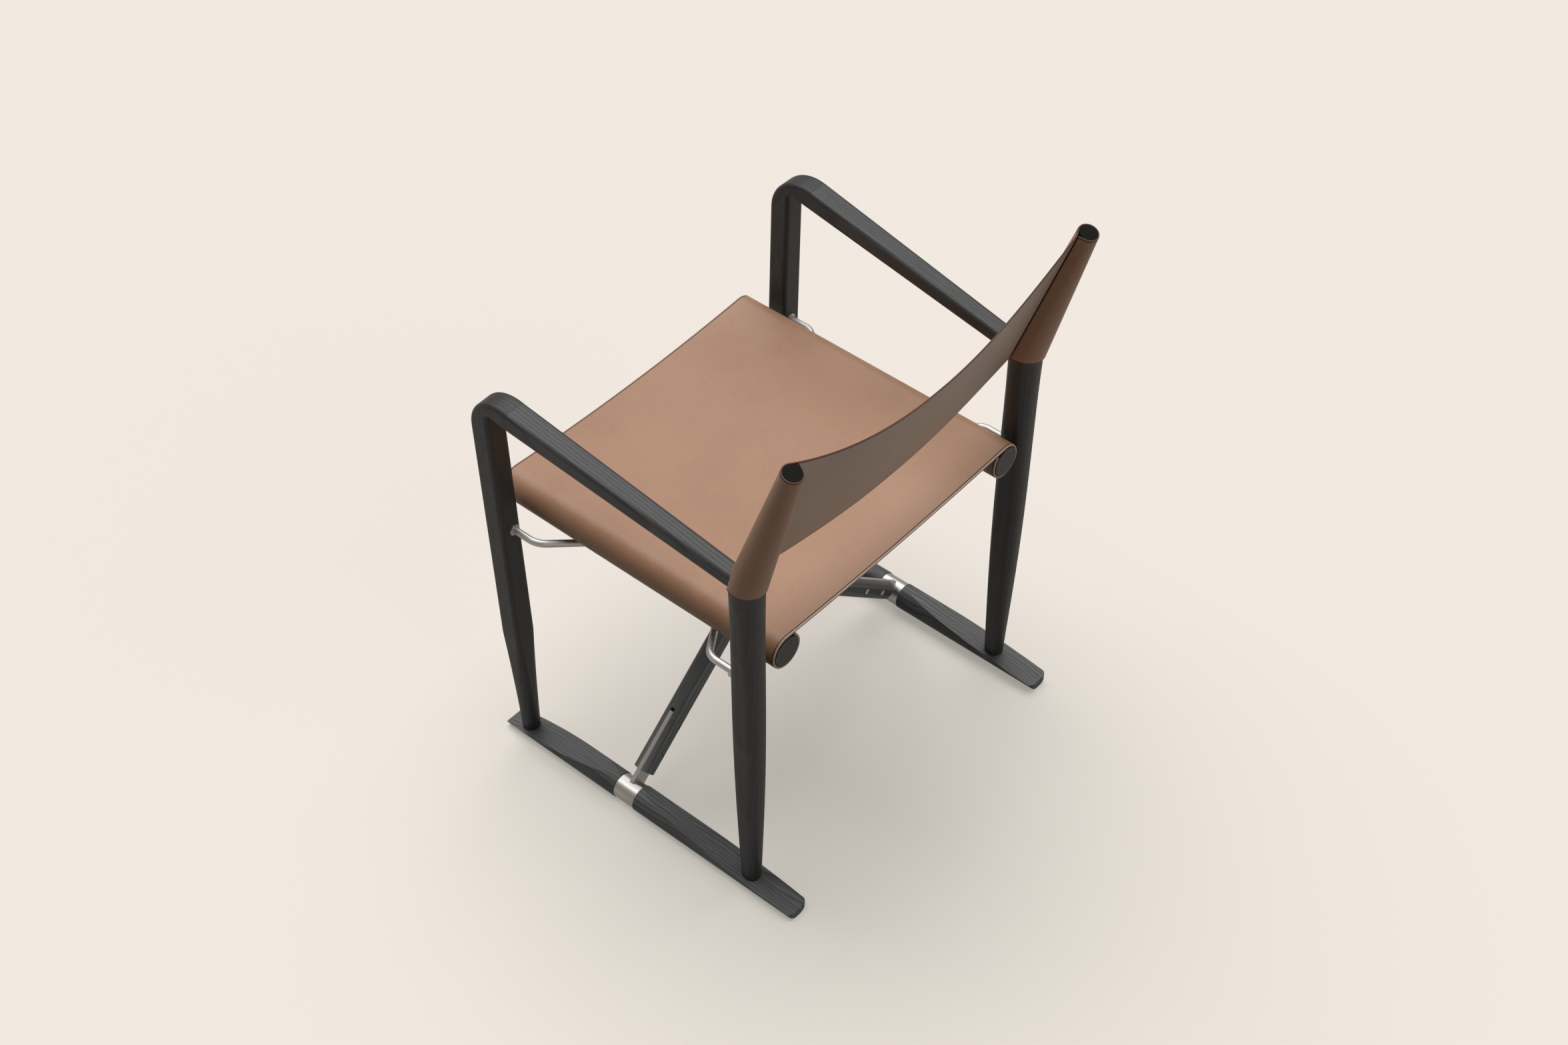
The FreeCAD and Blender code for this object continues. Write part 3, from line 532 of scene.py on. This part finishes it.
def back_path(h):
    """Middle line of one half of the back at a height.

    It starts behind the seam, goes round the post and ends at the chair's middle. Points and outward
    normals are given inward and rearward from the post's axis.
    """
    r = post_r(h) + GAP + BACK_T / 2
    seam_in, seam_n = seam_at(h)
    reach = post_x(h) - seam_in
    sag = SAG_LOW + (SAG_TOP - SAG_LOW) * h / POST_L
    slope = 2 * sag / (1 + SAG_PEAK) / reach
    leave = np.array([slope, -1.0]) / math.hypot(slope, 1.0)
    start = np.array([seam_in, seam_n])
    points = []
    normals = []

    tail = start - leave * BACK_T * TAIL_BEHIND
    rear_turn = math.atan2(tail[0], -tail[1]) + math.acos(r / np.linalg.norm(tail))
    off = round_way(rear_turn)
    for share in BACK_SHARES["tail"]:
        points.append(tail * (1 - share) + off * r * share)
        normals.append(off)

    front_turn = math.atan2(start[0], -start[1]) - math.acos(r / np.linalg.norm(start))
    for share in BACK_SHARES["round"]:
        normal = round_way(rear_turn + (front_turn + 2 * math.pi - rear_turn) * share)
        points.append(normal * r)
        normals.append(normal)

    front = round_way(front_turn)
    for share in BACK_SHARES["lead"]:
        points.append(front * r * (1 - share) + start * share)
        blend = share**3
        normal = front * (1 - blend) + leave * blend
        normals.append(normal / np.linalg.norm(normal))

    for share in BACK_SHARES["sheet"]:
        u = 1 - share
        drop = 1 - u * u
        n = sag * drop * (1 + SAG_PEAK * drop) / (1 + SAG_PEAK)
        rate = 2 * u * sag * (1 + 2 * SAG_PEAK * drop) / (1 + SAG_PEAK) / reach
        normal = np.array([rate, -1.0])
        points.append(np.array([seam_in + share * reach, seam_n + n]))
        normals.append(normal / np.linalg.norm(normal))
    return np.array(points), np.array(normals)


def build_back(side, sign):
    """One half of the back's leather with its sleeve, from the seam round the post to the middle."""
    guide, _ = back_path(POST_L / 2)
    foot, _ = back_path(0.0)
    count = len(guide)
    first = count - len(BACK_SHARES["sheet"])
    shares = rows_with_edges(0.0, 1.0, BACK_RIM, BACK_LINE)
    halves = thickness_rows(shares, BACK_T)
    heights = np.zeros((count, len(shares)))
    outer = np.zeros((count, len(shares), 3))
    inner = np.zeros_like(outer)
    for i in range(count):
        across = 1 - BACK_SHARES["sheet"][i - first] if i >= first else 1.0
        low = edge_h(across, False)
        if i < first:
            low += (foot[i, 1] - foot[first, 1]) * math.tan(RAKE)
        high = edge_h(across, True)
        for j, share in enumerate(shares):
            h = low * (1 - share) + high * share
            heights[i, j] = h
            points, normals = back_path(h)
            for grid, way in ((outer, 1), (inner, -1)):
                p = points[i] + normals[i] * halves[j] * way
                local = BEND + UP * h + REAR * p[1] + np.array([-sign * p[0], 0.0, 0.0])
                grid[i, j] = to_chair(sign, local)
    outer[-1, :, 0] = 0.0
    inner[-1, :, 0] = 0.0
    missing = np.zeros((count - 1, len(shares) - 1), bool)
    ahead = guide[:, 1] < 0
    for i in range(len(BACK_SHARES["tail"]), count - 1):
        across = (guide[i, 0] + guide[i + 1, 0]) / 2
        if ahead[i] and ahead[i + 1] and abs(across) < NOTCH_HALF:
            missing[i] = (heights[i, :-1] + heights[i, 1:]) / 2 < NOTCH_H
    if sign < 0:
        outer = outer[::-1]
        inner = inner[::-1]
        missing = missing[::-1]
    grids = (outer[:, ::-1], inner[:, ::-1])
    mats = (hide, flesh, burnish, burnish)
    obj = thick_sheet(side + "_back_leather", *grids, mats, missing[:, ::-1])
    middle = (outer + inner) / 2
    height = max(length_of(column) for column in middle)
    return obj, length_of(middle[:, len(shares) // 2]), height, area_of(middle)


def sun(name, towards, strength, angle):
    """Soft distant lamp shining along a direction."""
    lamp = bpy.data.lights.new(name, "SUN")
    lamp.energy = strength
    lamp.angle = math.radians(angle)
    obj = bpy.data.objects.new(name, lamp)
    bpy.context.collection.objects.link(obj)
    obj.rotation_mode = "QUATERNION"
    obj.rotation_quaternion = Vector(towards).to_track_quat("-Z", "Y")


# Materials, and the solids that wear them
hide = leather("hide_tan", TAN, TAN_DEEP)
flesh = leather("hide_inside", FLESH, FLESH_DEEP)
# Pale edge: the cut edge's colour, and on the seat's top rim a painted highlight.
raw_edge_and_highlight = edge_leather("hide_edge", RAW_EDGE_AND_HIGHLIGHT)
glue = edge_leather("hide_glue_line", GLUE_LINE)
burnish = edge_leather("hide_burnished_edge", BURNISHED)
bright = steel("steel_satin", SATIN, 0.30, (600.0, 25.0, 600.0))
rod_steel = steel("steel_rod", ROD, 0.36, (40.0, 40.0, 400.0))
# Screw steel brighter than the other steel: painted highlight.
screw_steel_painted_highlight = steel("steel_screw_painted_highlight", LIT_SCREW_STEEL, 0.42, (300.0, 300.0, 300.0))
shaded_post_end = end_grain("ash_end_grain_painted_shade")
ALONG = (0, 0, -QUARTER)
UPRIGHT = (0, QUARTER, 0)
LEANING = (0, QUARTER, 0.02)
# Wood brightness per piece is painted light: arms and runners are lighter where they look lit, and
# the two sides and the runner halves are set apart by light alone.
ARM_PAINTED_LIGHT_GAIN = 1.9
RUNNER_SWIRL = 0.05
for side, sign in SIDES:
    ash = side + "_ash_"
    front_painted_light_gain = 3.15 + 0.25 * sign
    rear_painted_light_gain = 3.7 + 0.5 * sign
    front_pith = (0.5, -sign * 0.262, -0.05)
    rear_pith = (0.9, -sign * 0.268, -0.045)
    paint(side + "_front_leg", wood(ash + "front_leg", UPRIGHT, (0.1, 0.245, -sign * 0.24)))
    paint(side + "_rear_leg", wood(ash + "rear_leg", LEANING, (0.3, -0.13, -sign * 0.22)))
    # Post tops get the near-black end grain: partly painted shade of the recess.
    paint_end(side + "_rear_leg", shaded_post_end, Vector(UP))
    paint(side + "_armrest", wood(ash + "arm", ALONG, (0.2, -sign * 0.24, -0.66), ARM_PAINTED_LIGHT_GAIN))
    paint(side + "_runner_front", wood(ash + "runner_a", ALONG, front_pith, front_painted_light_gain, RUNNER_SWIRL))
    paint(side + "_runner_rear", wood(ash + "runner_b", ALONG, rear_pith, rear_painted_light_gain, RUNNER_SWIRL))
    paint(side + "_seat_rail", wood(ash + "rail", ALONG, (0.7, -sign * 0.20, -0.42)))
    paint(side + "_arm_dowels", wood(ash + "dowel", ALONG, (0.0, 0.0, 0.0)))
    paint(side + "_axle", bright)
    paint(side + "_bail_bushes", bright)
    paint(side + "_bail", rod_steel)
for word, sign in BRACES:
    tilt = (0, -sign * (QUARTER - BRACE_TURN), 0)
    # Braces lightened partly for their own lighter grey and partly as painted light; the front brace
    # brighter than the rear is painted light on the same wood.
    painted_light_gain = 4.8 + 1.2 * sign
    paint(word + "_brace", wood(word + "_ash_brace", tilt, (0.2, 0.06, 0.1), painted_light_gain))
    paint(word + "_brace_screws", screw_steel_painted_highlight)
    paint(word + "_brace_collar", bright)
    paint(word + "_brace_tongue", bright)
for name in ("pivot_bolt", "pivot_nut", "pivot_washer"):
    paint(name, bright)

# Leather sheets
seat, seat_w, seat_l = build_seat()
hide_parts("right_seat", "left_seat")
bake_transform(seat)

for side, sign in SIDES:
    half, width, height, area = build_back(side, sign)
    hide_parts(side + "_back_sleeve", side + "_back_panel")
    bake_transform(half)

# Floor: pale with a lifted shadow where it is looked at, and darker where it lights the chair
floor_mesh = bpy.data.meshes.new("floor")
corners = [(-FLOOR, -FLOOR, 0), (FLOOR, -FLOOR, 0), (FLOOR, FLOOR, 0), (-FLOOR, FLOOR, 0)]
floor_mesh.from_pydata(corners, [], [(0, 1, 2, 3)])
floor = bpy.data.objects.new("floor", floor_mesh)
bpy.context.collection.objects.link(floor)
ground, tree, bounce = new_material("floor_paint")
feed(tree, bounce.inputs["Base Color"], BOUNCE)
feed(tree, bounce.inputs["Roughness"], 0.9)
feed(tree, bounce.inputs["Specular IOR Level"], 0.0)
seen = add(tree, "ShaderNodeBsdfDiffuse", Color=PALE)
glow = add(tree, "ShaderNodeEmission", Color=SHADE, Strength=1.0)
soft_shadow = add(tree, "ShaderNodeMixShader", Fac=FLOOR_GLOW)
tree.links.new(seen.outputs[0], soft_shadow.inputs[1])
tree.links.new(glow.outputs[0], soft_shadow.inputs[2])
surface = add(tree, "ShaderNodeMixShader", Fac=looked_at(tree, FLOOR_MIRROR))
tree.links.new(bounce.outputs[0], surface.inputs[1])
tree.links.new(soft_shadow.outputs[0], surface.inputs[2])
tree.links.new(surface.outputs[0], tree.nodes["Material Output"].inputs[0])
floor_mesh.materials.append(ground)

# Dim even light from all round, with the floor's colour behind the chair
world = bpy.data.worlds.new("studio")
bpy.context.scene.world = world
world.use_nodes = True
tree = world.node_tree
dim = tree.nodes["Background"]
feed(tree, dim.inputs["Color"], SKY)
feed(tree, dim.inputs["Strength"], SKY_LIGHT)
wall = add(tree, "ShaderNodeBackground", Color=PALE, Strength=1.0)
behind = add(tree, "ShaderNodeMixShader", Fac=looked_at(tree, WALL_MIRROR))
tree.links.new(dim.outputs[0], behind.inputs[1])
tree.links.new(wall.outputs[0], behind.inputs[2])
tree.links.new(behind.outputs[0], tree.nodes["World Output"].inputs[0])

sun("key", towards=(0.20, 0.32, -1.0), strength=2.95, angle=70)
sun("rear_fill", towards=(0.1, -1.0, -0.35), strength=0.55, angle=60)

camera = bpy.data.cameras.new("camera")
camera.sensor_fit = "HORIZONTAL"
camera.sensor_width = SENSOR
camera.lens = SENSOR * FOCAL_PIXELS / IMAGE_WIDTH
camera.clip_start = 0.05
camera.clip_end = 100.0
eye = bpy.data.objects.new("camera", camera)
bpy.context.collection.objects.link(eye)
back = Vector((
    math.sin(AZIMUTH) * math.cos(ELEVATION),
    -math.cos(AZIMUTH) * math.cos(ELEVATION),
    math.sin(ELEVATION),
))
eye.location = EYE
eye.rotation_mode = "QUATERNION"
eye.rotation_quaternion = (-back).to_track_quat("-Z", "Y")
bpy.context.scene.camera = eye
bpy.context.scene.view_settings.view_transform = "Standard"
